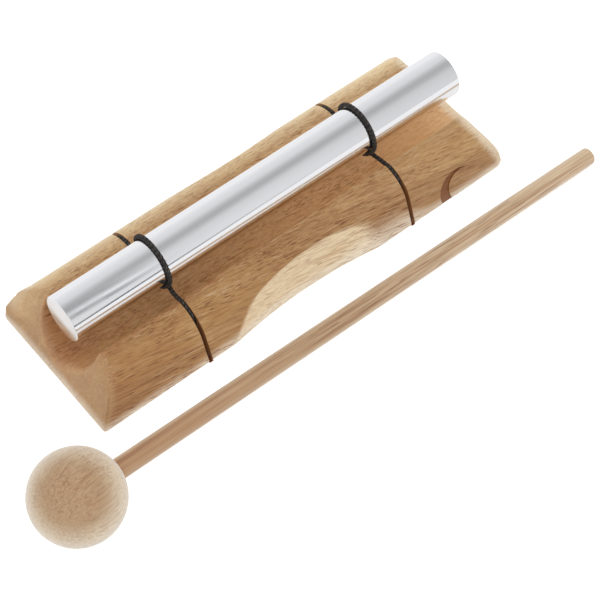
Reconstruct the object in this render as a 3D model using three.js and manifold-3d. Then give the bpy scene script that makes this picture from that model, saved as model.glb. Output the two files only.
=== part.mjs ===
// A chime bar: one aluminium bar slung in two cord loops over a wooden base,
// with its mallet lying in front of it.
// Millimetres, +Z up, X along the bar, origin at the middle of the base's underside.

import * as THREE from 'three';
import { mergeVertices } from 'three/addons/utils/BufferGeometryUtils.js';
import Module from 'manifold-3d';

const wasm = await Module();
wasm.setup();

// Driving dimensions of the wooden base.
const baseLength = 165;
const baseWidth = 56;
const baseHeight = 18.4;
const crownRise = 0.7;
const sideLean = THREE.MathUtils.degToRad(19);
const endLean = THREE.MathUtils.degToRad(26.5);
const shoulderRadius = 11.7;
const footEase = 0.6;
const troughRadius = 12.7;
const troughFloor = 4.2;
const scoopRadius = 140;
const scoopDepth = 2.8;
const scoopLean = THREE.MathUtils.degToRad(17);

// The saw kerfs that hold the cords, and the groove and pocket under the base.
const kerfSpacing = 83;
const kerfWidth = 2.1;
const kerfDepth = 8.4;
const leadDepth = 1.0;
const leadFall = 1.9;
const kneeInset = 0.8;
const grooveDepth = 3.0;
const floorBend = 2.2;
const rimBend = 1.5;
const entryReach = 3.4;
const pocketWidth = 6.4;
const pocketLength = 16;
const pocketDepth = 3.4;

// The bar and the cord that carries it.
const barDiameter = 16;
const barLength = 153;
const barClearance = 11.7;
const barOffset = 0.7;
const barEase = 0.4;
const cordDiameter = 1.6;
const passGap = 1.0;
const passHold = THREE.MathUtils.degToRad(35);
const passSwing = THREE.MathUtils.degToRad(70);
const strandSwingShare = 0.7;
const leftLoopShift = -0.2;
const rightLoopShift = -1.5;
const cordEndOverlap = 3.0;
const cordEndSpread = 1.35;

// The mallet and where it lies.
const headDiameter = 29.8;
const stickDiameter = 6.6;
const tipDiameter = 6.1;
const tipRound = 1.1;
const malletLength = 224;
const boreDepth = 19;
const headBeyondEnd = 22.3;
const malletGap = 19.3;
const malletTurn = THREE.MathUtils.degToRad(0.7);

// Running clearance between touching pieces, and how far cutters overrun.
const fit = 0.3;
const overrun = 5;
const weldTolerance = 0.0001;

// Counts of facets.
const shoulderFacets = 12;
const troughFacets = 36;
const scoopFacets = 20;
const bendFacets = 5;
const barFacets = 64;
const headFacets = 48;
const headRings = 26;
const stickFacets = 28;
const tipRings = 4;
const cordSides = 8;
const loopSteps = 34;
const strandSteps = 6;
const cordSteps = 118;
const gapSamplesPerStep = 4;
const gapSkipDiameters = 3;

// Values that follow from the driving dimensions.
const halfLength = baseLength / 2;
const halfWidth = baseWidth / 2;
const barRadius = barDiameter / 2;
const cordRadius = cordDiameter / 2;
const headRadius = headDiameter / 2;
const stickRadius = stickDiameter / 2;
const tipRadius = tipDiameter / 2;
const barHeight = troughFloor + barClearance + barRadius;
const troughCentre = troughFloor + troughRadius;
const cordOffset = cordRadius + fit;
const loopRadius = barRadius + cordOffset;

const woodColour = 0xb98d5f;
const palerWoodColour = 0xcbb08c;
const metalColour = 0xdfe0e4;
const cordColour = 0x242220;

// Turns a closed geometry into a solid that can be cut and joined.
function solidOf(geometry) {
  const bare = geometry.clone();
  bare.deleteAttribute('normal');
  bare.deleteAttribute('uv');
  const welded = mergeVertices(bare, weldTolerance);
  const mesh = new wasm.Mesh({
    numProp: 3,
    vertProperties: new Float32Array(welded.attributes.position.array),
    triVerts: new Uint32Array(welded.index.array),
  });
  return new wasm.Manifold(mesh);
}

// Turns a cut solid back into a geometry.
function geometryOf(solid) {
  const mesh = solid.getMesh();
  const geometry = new THREE.BufferGeometry();
  const places = new Float32Array(mesh.vertProperties);
  geometry.setAttribute('position', new THREE.BufferAttribute(places, 3));
  geometry.setIndex(new THREE.BufferAttribute(new Uint32Array(mesh.triVerts), 1));
  geometry.computeVertexNormals();
  return geometry;
}

// Extrudes a shape drawn in Y and Z along X, centred on x = middle.
function alongX(shape, length, middle, facets) {
  const options = { depth: length, bevelEnabled: false, curveSegments: facets };
  const geometry = new THREE.ExtrudeGeometry(shape, options);
  const turn = new THREE.Matrix4().makeBasis(
    new THREE.Vector3(0, 1, 0),
    new THREE.Vector3(0, 0, 1),
    new THREE.Vector3(1, 0, 0),
  );
  geometry.applyMatrix4(turn);
  geometry.translate(middle - length / 2, 0, 0);
  return geometry;
}

// Extrudes a shape drawn in X and Z along Y, centred on y = 0.
function alongY(shape, length) {
  const geometry = new THREE.ExtrudeGeometry(shape, { depth: length, bevelEnabled: false });
  const turn = new THREE.Matrix4().makeBasis(
    new THREE.Vector3(1, 0, 0),
    new THREE.Vector3(0, 0, 1),
    new THREE.Vector3(0, -1, 0),
  );
  geometry.applyMatrix4(turn);
  geometry.translate(0, length / 2, 0);
  return geometry;
}

// Puts a round bend at each inner corner of a flat line of points.
function rounded(points, radius) {
  const line = [points[0]];
  for (let i = 1; i < points.length - 1; i += 1) {
    const corner = points[i];
    const back = points[i - 1].clone().sub(corner);
    const ahead = points[i + 1].clone().sub(corner);
    const room = Math.min(back.length(), ahead.length()) / 2;
    back.normalize();
    ahead.normalize();
    const half = Math.acos(THREE.MathUtils.clamp(back.dot(ahead), -1, 1)) / 2;
    const reach = Math.min(radius / Math.tan(half), room);
    const bend = reach * Math.tan(half);
    const middle = back.clone().add(ahead).normalize();
    const centre = corner.clone().addScaledVector(middle, bend / Math.sin(half));
    const from = corner.clone().addScaledVector(back, reach).sub(centre);
    const to = corner.clone().addScaledVector(ahead, reach).sub(centre);
    let sweep = Math.atan2(to.y, to.x) - Math.atan2(from.y, from.x);
    sweep = Math.atan2(Math.sin(sweep), Math.cos(sweep));
    for (let step = 0; step <= bendFacets; step += 1) {
      const turned = from.clone().rotateAround(new THREE.Vector2(), sweep * step / bendFacets);
      line.push(centre.clone().add(turned));
    }
  }
  line.push(points[points.length - 1]);
  return line;
}

// Moves a flat line sideways, to its left as it runs.
function offsetLine(points, distance) {
  return points.map((point, i) => {
    const before = points[Math.max(i - 1, 0)];
    const after = points[Math.min(i + 1, points.length - 1)];
    const run = after.clone().sub(before).normalize();
    return new THREE.Vector2(point.x - run.y * distance, point.y + run.x * distance);
  });
}

// The base's cross-section: leaning sides, round shoulders and a low crown.
function baseSection() {
  const cornerHeight = baseHeight - crownRise;
  const cornerReach = halfWidth - cornerHeight * Math.tan(sideLean);
  const sweep = Math.PI / 2 - sideLean;
  const reach = shoulderRadius * Math.tan(sweep / 2);
  const centreY = cornerReach - reach;
  const centreZ = cornerHeight - shoulderRadius;
  const shape = new THREE.Shape();
  shape.moveTo(-halfWidth + footEase, 0);
  shape.lineTo(halfWidth - footEase, 0);
  shape.lineTo(halfWidth - footEase * Math.tan(sideLean), footEase);
  shape.absarc(centreY, centreZ, shoulderRadius, sideLean, Math.PI / 2, false);
  shape.quadraticCurveTo(0, cornerHeight + crownRise * 2, -centreY, cornerHeight);
  shape.absarc(-centreY, centreZ, shoulderRadius, Math.PI / 2, Math.PI - sideLean, false);
  shape.lineTo(-halfWidth + footEase * Math.tan(sideLean), footEase);
  return shape;
}

// The round-bottomed trough under the bar, open upwards.
function troughSection() {
  const top = baseHeight + overrun;
  const shape = new THREE.Shape();
  shape.moveTo(troughRadius, top);
  shape.lineTo(-troughRadius, top);
  shape.lineTo(-troughRadius, troughCentre);
  shape.absarc(0, troughCentre, troughRadius, Math.PI, Math.PI * 2, false);
  return shape;
}

// What is left of the base's length once both ends are bevelled.
function endProfile() {
  const low = halfLength + overrun * Math.tan(endLean);
  const top = baseHeight + overrun;
  const high = halfLength - top * Math.tan(endLean);
  const shape = new THREE.Shape();
  shape.moveTo(-low, -overrun);
  shape.lineTo(low, -overrun);
  shape.lineTo(high, top);
  shape.lineTo(-high, top);
  return shape;
}

// The shallow grip scooped out of the front side, as a round cutter leaning inwards.
function scoopCutter() {
  const chord = Math.sqrt(scoopRadius * scoopDepth) * 2;
  const arc = Math.asin(chord / scoopRadius);
  const fall = scoopRadius * (1 - Math.cos(arc));
  const shape = new THREE.Shape();
  shape.moveTo(-chord, -fall - overrun);
  shape.lineTo(chord, -fall - overrun);
  shape.absarc(0, -scoopRadius, scoopRadius, Math.PI / 2 - arc, Math.PI / 2 + arc, false);
  const length = baseHeight + overrun * 2;
  const options = { depth: length, bevelEnabled: false, curveSegments: scoopFacets };
  const geometry = new THREE.ExtrudeGeometry(shape, options);
  const inward = new THREE.Vector3(0, Math.cos(scoopLean), -Math.sin(scoopLean));
  const upward = new THREE.Vector3(0, Math.sin(scoopLean), Math.cos(scoopLean));
  const turn = new THREE.Matrix4().makeBasis(new THREE.Vector3(1, 0, 0), inward, upward);
  geometry.translate(0, 0, -overrun);
  geometry.applyMatrix4(turn);
  geometry.translate(0, -(halfWidth - scoopDepth), 0);
  return geometry;
}

// Where a cord from the given point touches the loop's circle under the bar.
function touchPoint(point) {
  const away = point.clone().sub(new THREE.Vector2(0, barHeight));
  const bearing = Math.atan2(away.x, -away.y);
  const turn = bearing - Math.acos(loopRadius / away.length());
  const place = new THREE.Vector2(Math.sin(turn), -Math.cos(turn)).multiplyScalar(loopRadius);
  place.y += barHeight;
  return { turn, place };
}

// The floor of the kerf on the +Y side, from the trough's rim round to the middle underneath.
function kerfFloor() {
  const cornerHeight = baseHeight - crownRise;
  const rim = new THREE.Vector2(troughRadius + rimBend, cornerHeight - leadDepth);
  const seat = rim.clone().add(new THREE.Vector2(0, cordOffset));
  const towardsBar = touchPoint(seat).place.sub(seat).normalize();
  const entry = rim.clone().addScaledVector(towardsBar, entryReach);
  const heel = new THREE.Vector2(halfWidth - kerfDepth, grooveDepth);
  const knee = new THREE.Vector2(heel.x - kneeInset, rim.y - leadFall);
  const middle = new THREE.Vector2(0, grooveDepth);
  return rounded([entry, rim, knee, heel, middle], floorBend);
}

// The whole cut of one kerf: both sides and the groove under the base.
function kerfSection() {
  const floor = kerfFloor();
  const mirrored = floor.map((point) => new THREE.Vector2(-point.x, point.y)).reverse();
  const top = baseHeight + overrun;
  const reach = halfWidth + overrun;
  const shape = new THREE.Shape();
  shape.moveTo(-reach, -overrun);
  shape.lineTo(reach, -overrun);
  shape.lineTo(reach, top);
  shape.lineTo(floor[0].x, top);
  floor.forEach((point) => shape.lineTo(point.x, point.y));
  mirrored.slice(1).forEach((point) => shape.lineTo(point.x, point.y));
  shape.lineTo(-floor[0].x, top);
  shape.lineTo(-reach, top);
  return shape;
}

// The pocket under the base where a cord's two ends are tied.
function pocketCutter(x) {
  const height = pocketDepth + overrun;
  const geometry = new THREE.BoxGeometry(pocketWidth, pocketLength, height);
  geometry.translate(x, 0, pocketDepth - height / 2);
  return geometry;
}

function woodenBase() {
  const blankLength = baseLength + overrun * 2;
  let body = solidOf(alongX(baseSection(), blankLength, 0, shoulderFacets));
  const ends = solidOf(alongY(endProfile(), baseWidth + overrun * 2));
  body = body.intersect(ends);
  body = body.subtract(solidOf(alongX(troughSection(), blankLength, 0, troughFacets)));
  const scoop = scoopCutter();
  body = body.subtract(solidOf(scoop));
  body = body.subtract(solidOf(scoop.clone().rotateZ(Math.PI)));
  [-1, 1].forEach((side) => {
    const x = side * kerfSpacing / 2;
    body = body.subtract(solidOf(alongX(kerfSection(), kerfWidth, x, 1)));
    body = body.subtract(solidOf(pocketCutter(x)));
  });
  return geometryOf(body);
}

// The bar: a solid round rod with lightly broken edges.
function chimeBar() {
  const end = barLength / 2;
  const profile = [
    new THREE.Vector2(0, -end),
    new THREE.Vector2(barRadius - barEase, -end),
    new THREE.Vector2(barRadius, -end + barEase),
    new THREE.Vector2(barRadius, end - barEase),
    new THREE.Vector2(barRadius - barEase, end),
    new THREE.Vector2(0, end),
  ];
  const geometry = new THREE.LatheGeometry(profile, barFacets);
  geometry.rotateZ(-Math.PI / 2);
  return geometry;
}

// The cord's middle line: up the front kerf, once round the bar, down the rear kerf.
// The loop stands square to the bar, and its two passes under the bar lie side by side.
function cordRoute(loopShift) {
  const lane = offsetLine(kerfFloor(), cordOffset);
  const { turn, place } = touchPoint(lane[0]);
  const sweep = Math.PI * 2 + turn * 2;
  const halfPass = (cordDiameter + passGap) / 2;
  const rise = lane.slice(1, -1).reverse();
  const low = rise[0].y;
  const mouth = pocketLength / 2;
  const front = [];
  front.push(new THREE.Vector3(cordEndSpread, cordEndOverlap, low));
  front.push(new THREE.Vector3(cordEndSpread, -cordEndOverlap, low));
  front.push(new THREE.Vector3(0, -mouth, low));
  rise.forEach((point) => front.push(new THREE.Vector3(0, -point.x, point.y)));
  const rear = front.map((point) => new THREE.Vector3(-point.x, -point.y, point.z));
  for (let step = 0; step < strandSteps; step += 1) {
    const share = step / strandSteps;
    const point = lane[0].clone().lerp(place, share);
    const swing = THREE.MathUtils.smoothstep(share, 0, strandSwingShare);
    front.push(new THREE.Vector3((loopShift + halfPass) * swing, -point.x, point.y));
    rear.push(new THREE.Vector3((loopShift - halfPass) * swing, point.x, point.y));
  }
  const loop = [];
  for (let step = 0; step <= loopSteps; step += 1) {
    const angle = sweep * step / loopSteps - turn;
    const away = turn + passHold;
    const leaving = 1 - THREE.MathUtils.smoothstep(angle, away, away + passSwing);
    const back = Math.PI * 2 - turn;
    const returning = THREE.MathUtils.smoothstep(angle, back - passSwing, back);
    const x = loopShift + halfPass * (leaving - returning);
    const y = loopRadius * Math.sin(angle);
    loop.push(new THREE.Vector3(x, y, barHeight - loopRadius * Math.cos(angle)));
  }
  return new THREE.CatmullRomCurve3([...front, ...loop, ...rear.reverse()], false, 'centripetal');
}

// The least gap between two stretches of the cord, measured on points along it.
function leastGap(curve) {
  const count = cordSteps * gapSamplesPerStep;
  const points = curve.getSpacedPoints(count);
  const apart = Math.ceil(cordDiameter * gapSkipDiameters * count / curve.getLength());
  let least = Infinity;
  for (let i = 0; i <= count; i += 1) {
    for (let j = i + apart; j <= count; j += 1) {
      least = Math.min(least, points[i].distanceTo(points[j]) - cordDiameter);
    }
  }
  return least;
}

function cordTube(curve) {
  const section = new THREE.Shape();
  for (let side = 0; side < cordSides; side += 1) {
    const angle = Math.PI * 2 * (side + 1 / 2) / cordSides;
    const x = cordRadius * Math.cos(angle);
    const y = cordRadius * Math.sin(angle);
    if (side === 0) section.moveTo(x, y);
    else section.lineTo(x, y);
  }
  const options = { steps: cordSteps, bevelEnabled: false, extrudePath: curve };
  return new THREE.ExtrudeGeometry(section, options);
}

// The mallet's ball, with the blind bore that takes the stick. Its axis is Y here.
function malletHead() {
  const boreRadius = stickRadius + fit;
  const lip = Math.asin(boreRadius / headRadius);
  const profile = [];
  for (let ring = 0; ring <= headRings; ring += 1) {
    const angle = (Math.PI - lip) * ring / headRings;
    const along = -headRadius * Math.cos(angle);
    profile.push(new THREE.Vector2(headRadius * Math.sin(angle), along));
  }
  profile[0].x = 0;
  profile.push(new THREE.Vector2(boreRadius, headRadius - boreDepth));
  profile.push(new THREE.Vector2(0, headRadius - boreDepth));
  return new THREE.LatheGeometry(profile, headFacets);
}

// The stick, slightly tapered, with a rounded far end.
function malletStick() {
  const seat = headRadius - boreDepth + fit;
  const end = malletLength - headRadius;
  const profile = [new THREE.Vector2(0, seat), new THREE.Vector2(stickRadius, seat)];
  profile.push(new THREE.Vector2(stickRadius, headRadius));
  for (let ring = 0; ring <= tipRings; ring += 1) {
    const angle = Math.PI / 2 * ring / tipRings;
    const radius = tipRadius - tipRound * (1 - Math.cos(angle));
    profile.push(new THREE.Vector2(radius, end - tipRound * (1 - Math.sin(angle))));
  }
  profile.push(new THREE.Vector2(0, end));
  return new THREE.LatheGeometry(profile, stickFacets);
}

function finish(colour, roughness, metalness) {
  return new THREE.MeshStandardMaterial({ color: colour, roughness, metalness });
}

function piece(name, geometry, material) {
  const mesh = new THREE.Mesh(geometry, material);
  mesh.name = name;
  return mesh;
}

const chimeBarSet = new THREE.Group();

chimeBarSet.add(piece('wooden_base', woodenBase(), finish(woodColour, 0.55, 0)));

const bar = piece('chime_bar', chimeBar(), finish(metalColour, 0.12, 1));
bar.position.set(barOffset, 0, barHeight);
chimeBarSet.add(bar);

const cords = [
  { name: 'cord_left', side: -1, shift: leftLoopShift },
  { name: 'cord_right', side: 1, shift: rightLoopShift },
];
cords.forEach(({ name, side, shift }) => {
  const route = cordRoute(shift);
  const cord = piece(name, cordTube(route), finish(cordColour, 0.85, 0));
  cord.position.x = side * kerfSpacing / 2;
  chimeBarSet.add(cord);
  console.log(`${name}: length ${route.getLength().toFixed(1)} mm`);
  console.log(`${name}: least gap to itself ${leastGap(route).toFixed(2)} mm`);
});

// The mallet rests on its ball and on the edge of its far end.
const tipReach = malletLength - headRadius - tipRound;
const tipAway = Math.hypot(tipReach, tipRadius);
const malletDip = Math.asin(headRadius / tipAway) - Math.asin(tipRadius / tipAway);
const mallet = new THREE.Group();
mallet.add(piece('mallet_head', malletHead(), finish(palerWoodColour, 0.6, 0)));
mallet.add(piece('mallet_stick', malletStick(), finish(palerWoodColour, 0.6, 0)));
mallet.position.set(-halfLength - headBeyondEnd, -halfWidth - malletGap, headRadius);
mallet.rotation.set(0, malletDip, malletTurn, 'ZYX');
mallet.children.forEach((child) => child.geometry.rotateZ(-Math.PI / 2));
chimeBarSet.add(mallet);

export default chimeBarSet;
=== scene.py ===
"""A chime bar slung in two cords over a wooden base, with its wooden mallet in front.

Lengths are in metres, +Z is up and X runs along the bar.
"""
import math

import bpy
from mathutils import Matrix, Vector


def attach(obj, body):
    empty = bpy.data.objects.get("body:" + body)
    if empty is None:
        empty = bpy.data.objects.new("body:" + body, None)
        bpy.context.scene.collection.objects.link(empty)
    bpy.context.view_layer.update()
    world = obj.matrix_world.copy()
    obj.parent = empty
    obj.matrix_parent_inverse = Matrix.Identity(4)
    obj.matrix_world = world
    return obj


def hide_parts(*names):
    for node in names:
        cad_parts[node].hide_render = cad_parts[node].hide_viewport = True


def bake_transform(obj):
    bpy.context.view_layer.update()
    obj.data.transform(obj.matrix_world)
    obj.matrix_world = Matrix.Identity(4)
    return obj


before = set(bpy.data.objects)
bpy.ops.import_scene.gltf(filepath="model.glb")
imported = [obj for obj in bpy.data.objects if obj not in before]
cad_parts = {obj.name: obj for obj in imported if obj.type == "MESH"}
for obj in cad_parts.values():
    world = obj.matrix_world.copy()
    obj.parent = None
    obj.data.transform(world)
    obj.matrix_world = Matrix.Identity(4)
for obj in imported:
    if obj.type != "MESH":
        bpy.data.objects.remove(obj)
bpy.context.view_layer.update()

MM = 0.001
SMOOTH_ANGLE = math.radians(28)

# The wooden base.
BASE_LENGTH = 165 * MM
HALF_WIDTH = 28 * MM
TOP_HEIGHT = 17.7 * MM
SIDE_LEAN = math.radians(19)
END_LEAN = math.radians(26.5)
SHOULDER_RADIUS = 11.7 * MM
SHOULDER_REACH = SHOULDER_RADIUS * math.tan((math.pi / 2 - SIDE_LEAN) / 2)
SHOULDER_Y = HALF_WIDTH - TOP_HEIGHT * math.tan(SIDE_LEAN) - SHOULDER_REACH
SHOULDER_Z = TOP_HEIGHT - SHOULDER_RADIUS
TROUGH_RADIUS = 12.7 * MM
TROUGH_CENTRE = 16.9 * MM
RIM_RADIUS = 1.4 * MM
FOOT_RADIUS = 0.6 * MM
BLANK_SPARE = 10 * MM
GRAIN_DIP = math.radians(9)
GRAIN_TURN = math.radians(-4.6)
MOON_X = 60 * MM
MOON_DEPTH = 0.35 * MM

# The grip in each long side, and the large drum that cuts it.
SCOOP_RADIUS = 155 * MM
SCOOP_DEPTH = 2.8 * MM
SCOOP_LEAN = math.radians(15)
SCOOP_TILT = math.radians(22)
SCOOP_X = -2.0 * MM
DRUM_LENGTH = 120 * MM
DRUM_SIDES = 900

# The sanding of the base's ends. The net's depths are in millimetres.
NET_DEPTHS = (0.3, 0.7, 1.2, 1.8, 2.5, 3.4, 4.5)
NET_INSET = 0.28 * MM
SANDED_DEPTH = 4.5 * MM
TROUGH_EDGE = 1.0 * MM
CRISP_EDGE = 0.6 * MM
FRONT_WEAR = 2.0 * MM
CORNER_FULLNESS = 1.0 * MM
END_BELLY = 0.95 * MM
# How widely each corner is rounded, by its end (-1 is left) and side (-1 is front): its
# upright edge, and the end's edge where it runs over the shoulder.
CORNER_SOFTNESS = {
    (-1, -1): (1.0 * MM, 3.2 * MM),
    (-1, 1): (2.8 * MM, 1.6 * MM),
    (1, -1): (4.0 * MM, 1.4 * MM),
    (1, 1): (3.0 * MM, 1.0 * MM),
}

# The kerfs. Each floor runs from inside the trough over its rim to the knee, down to the
# heel and along the groove underneath, where a pocket takes the cord's tied ends.
KERF_X = 41.5 * MM
KERF_WIDTH = 1.5 * MM
KERF_DEPTH = 8.4 * MM
GROOVE_DEPTH = 3.0 * MM
RIM_BEND = 1.5 * MM
LEAD_DEPTH = 1.0 * MM
LEAD_FALL = 1.9 * MM
KNEE_INSET = 0.8 * MM
ENTRY_REACH = 3.4 * MM
FLOOR_BEND = 2.2 * MM
SAW_OVERRUN = 6 * MM
POCKET_SIZE = Vector((6.4, 16, 5)) * MM
POCKET_MIDDLE = 0.9 * MM

# The cords: each is braided from strands that run both ways round a core.
CORD_RADIUS = 0.8 * MM
CORD_GAP = 0.05 * MM
SOLID_CORD_GAP = 0.3 * MM
CORD_STEP = 0.22 * MM
LOOP_SHIFT = {"left": -0.2 * MM, "right": -1.5 * MM}
PASS_GAP = 1.0 * MM
PASS_HOLD = math.radians(35)
PASS_SWING = math.radians(70)
EASING_ROUNDS = 60
BRAID_PITCH = 6.4 * MM
STRANDS_EACH_WAY = 4
STRAND_REACH = 0.44 * MM
STRAND_WEAVE = 0.1 * MM
STRAND_RADIUS = 0.26 * MM
CORE_RADIUS = 0.4 * MM
# Where a cord is still held by its kerf, and where it hangs free with the bar: Y and Z.
HELD_PLACE = (14.2 * MM, 18.12 * MM)
FREE_PLACE = (12.479 * MM, 20.988 * MM)

# The tied ends in the pocket. The front end's places are X and Y in millimetres.
TIED_END = ((0.9, 4.6), (0.9, -2.0), (0.3, -6.0))
TIED_SPREAD = 0.9 * MM
WHIPPING_TURNS = 9
WHIPPING_LENGTH = 4.4 * MM
WHIPPING_DROP = 0.1 * MM
THREAD_REACH = 1.0 * MM
THREAD_RADIUS = 0.24 * MM

# The bar and the mallet.
BAR_RADIUS = 8 * MM
BAR_LENGTH = 153 * MM
BAR_X = 0.7 * MM
BAR_HEIGHT = 23.9 * MM
BAR_EDGE = 0.4 * MM
BALL_RADIUS = 14.9 * MM
BALL_PLACE = Vector((-104.8, -47.3, 14.9)) * MM
BALL_CROWN = Vector((-108.5, -52, 28.5)) * MM
BALL_GRAIN_TURN = math.radians(9)
BALL_GRAIN_SHIFT = 1.7
STICK_GRAIN_SHIFT = 3.1
BORE_ROOM = 0.12 * MM
BORE_MIDDLE = 8 * MM
BORE_LENGTH = 24 * MM
STICK_RADIUS = 3.4 * MM
TIP_RADIUS = 3.05 * MM
TIP_EDGE = 1.1 * MM
STICK_START = -3.8 * MM
STICK_END = 209.1 * MM
MALLET_DIP = math.radians(3.267)
MALLET_TURN = math.radians(0.7)

# The camera, the light and the table.
CAMERA_AZIMUTH = math.radians(-39.024)
CAMERA_ELEVATION = math.radians(56.724)
CAMERA_AIM = Vector((-5.75, -27.40, 0)) * MM
CAMERA_DISTANCE = 0.61171
CAMERA_LENS = 115.57
KEY_PLACE = (-0.1, -0.25, 0.9)
KEY_SIZE = 0.6
KEY_POWER = 1.2
TABLE_SIZE = 6
TABLE_DROP = 0.02 * MM
COVERED_X = 80 * MM
COVERED_Y = 24.8 * MM


def smooth(low, high, value):
    """Runs smoothly from 0 at low to 1 at high."""
    share = min(max((value - low) / (high - low), 0), 1)
    return share * share * (3 - 2 * share)


def colour(red, green, blue):
    """A colour as it is read off a screen, 0 to 255, made linear."""
    parts = []
    for value in (red, green, blue):
        share = value / 255
        parts.append(share / 12.92 if share <= 0.04045 else ((share + 0.055) / 1.055) ** 2.4)
    return (*parts, 1)


WHITE = (1, 1, 1, 1)
BLACK = (0, 0, 0, 1)

# The base's wood, from its grain and its painted light and shade to what the saw and the engraving
# tool leave.
PALE_GRAIN = colour(202, 163, 107)
MIDDLE_GRAIN = colour(186, 142, 87)
DARK_GRAIN = colour(166, 120, 70)
# Heartwood colour, which also serves as painted shade of the bar along the trough.
HEART_AND_BAR_SHADE = colour(172, 114, 70)
PALE_TROUGH = colour(249, 202, 142)
# Painted shade of the bar in the left end of the trough.
TROUGH_BAR_SHADE = colour(160, 96, 48)
LIGHT_RIGHT = colour(240, 214, 172)
NEAR_LEFT_SHADE = colour(160, 106, 58)
SANDED_GRIP = colour(252, 234, 198)
# Painted bounce light along the foot.
FOOT_BOUNCE_LIGHT = colour(253, 244, 226)
END_GLARE = colour(250, 234, 206)
FAR_SHOULDER_LIGHT = colour(252, 228, 180)
FAR_EDGE_GLARE = colour(255, 247, 226)
SAWN_WALL = colour(172, 116, 66)
ENGRAVED_DARK = colour(110, 60, 20)
ENGRAVED_LIGHT = colour(148, 91, 40)

# What fine lines, fibres and pores do to any wood's tone.
LINE_SHADE = colour(196, 152, 112)
FIBRE_SHADE = colour(214, 178, 146)
FIBRE_SHINE = colour(255, 240, 214)
PORE_SHADE = colour(150, 104, 74)

# The mallet's wood: pale, middle and dark grain, then darker and paler tones and painted rim light.
BALL_TONES = colour(206, 181, 145), colour(190, 161, 125), colour(174, 140, 104)
BALL_TAN = colour(186, 144, 104)
BALL_RIM_LIGHT = colour(242, 228, 202)
STICK_TONES = colour(229, 206, 167), colour(207, 178, 141), colour(172, 135, 96)
STICK_TAN = colour(176, 126, 86)
STICK_PALE = colour(232, 210, 178)
STICK_RIM_LIGHT = colour(246, 228, 198)

METAL_DARK = colour(238, 239, 243)
METAL_LIGHT = colour(247, 247, 249)
CORD_DUST = colour(84, 76, 66)
TABLE_WHITE = (0.95, 0.95, 0.95, 1)
SLOT_SHADE_BROWN = colour(120, 70, 40)
ROOM_WHITE = (0.84, 0.84, 0.84, 1)
ROOM_GAP = (0.03, 0.04, 0.035, 1)


def place_camera():
    back = Vector((
        math.sin(CAMERA_AZIMUTH) * math.cos(CAMERA_ELEVATION),
        -math.cos(CAMERA_AZIMUTH) * math.cos(CAMERA_ELEVATION),
        math.sin(CAMERA_ELEVATION),
    ))
    bpy.ops.object.camera_add()
    camera = bpy.context.object
    camera.data.sensor_width = 36
    camera.data.lens = CAMERA_LENS
    camera.data.clip_start, camera.data.clip_end = 0.01, 20
    camera.rotation_mode = "QUATERNION"
    camera.location = CAMERA_AIM + back * CAMERA_DISTANCE
    camera.rotation_quaternion = (-back).to_track_quat("-Z", "Y")
    bpy.context.scene.camera = camera


class Reading:
    """A number or colour that varies over a surface, on which maths can be written."""

    def __init__(self, finish, socket):
        self.finish = finish
        self.socket = socket

    def maths(self, operation, first, second=None):
        return self.finish.maths(operation, first, second)

    def __add__(self, other):
        return self.maths("ADD", self, other)

    def __sub__(self, other):
        return self.maths("SUBTRACT", self, other)

    def __mul__(self, other):
        return self.maths("MULTIPLY", self, other)

    def __truediv__(self, other):
        return self.maths("DIVIDE", self, other)

    def __rsub__(self, other):
        return self.maths("SUBTRACT", other, self)

    def __abs__(self):
        return self.maths("ABSOLUTE", self)

    def __gt__(self, other):
        return self.maths("GREATER_THAN", self, other)

    def __lt__(self, other):
        return self.maths("LESS_THAN", self, other)

    __radd__ = __add__
    __rmul__ = __mul__


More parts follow.
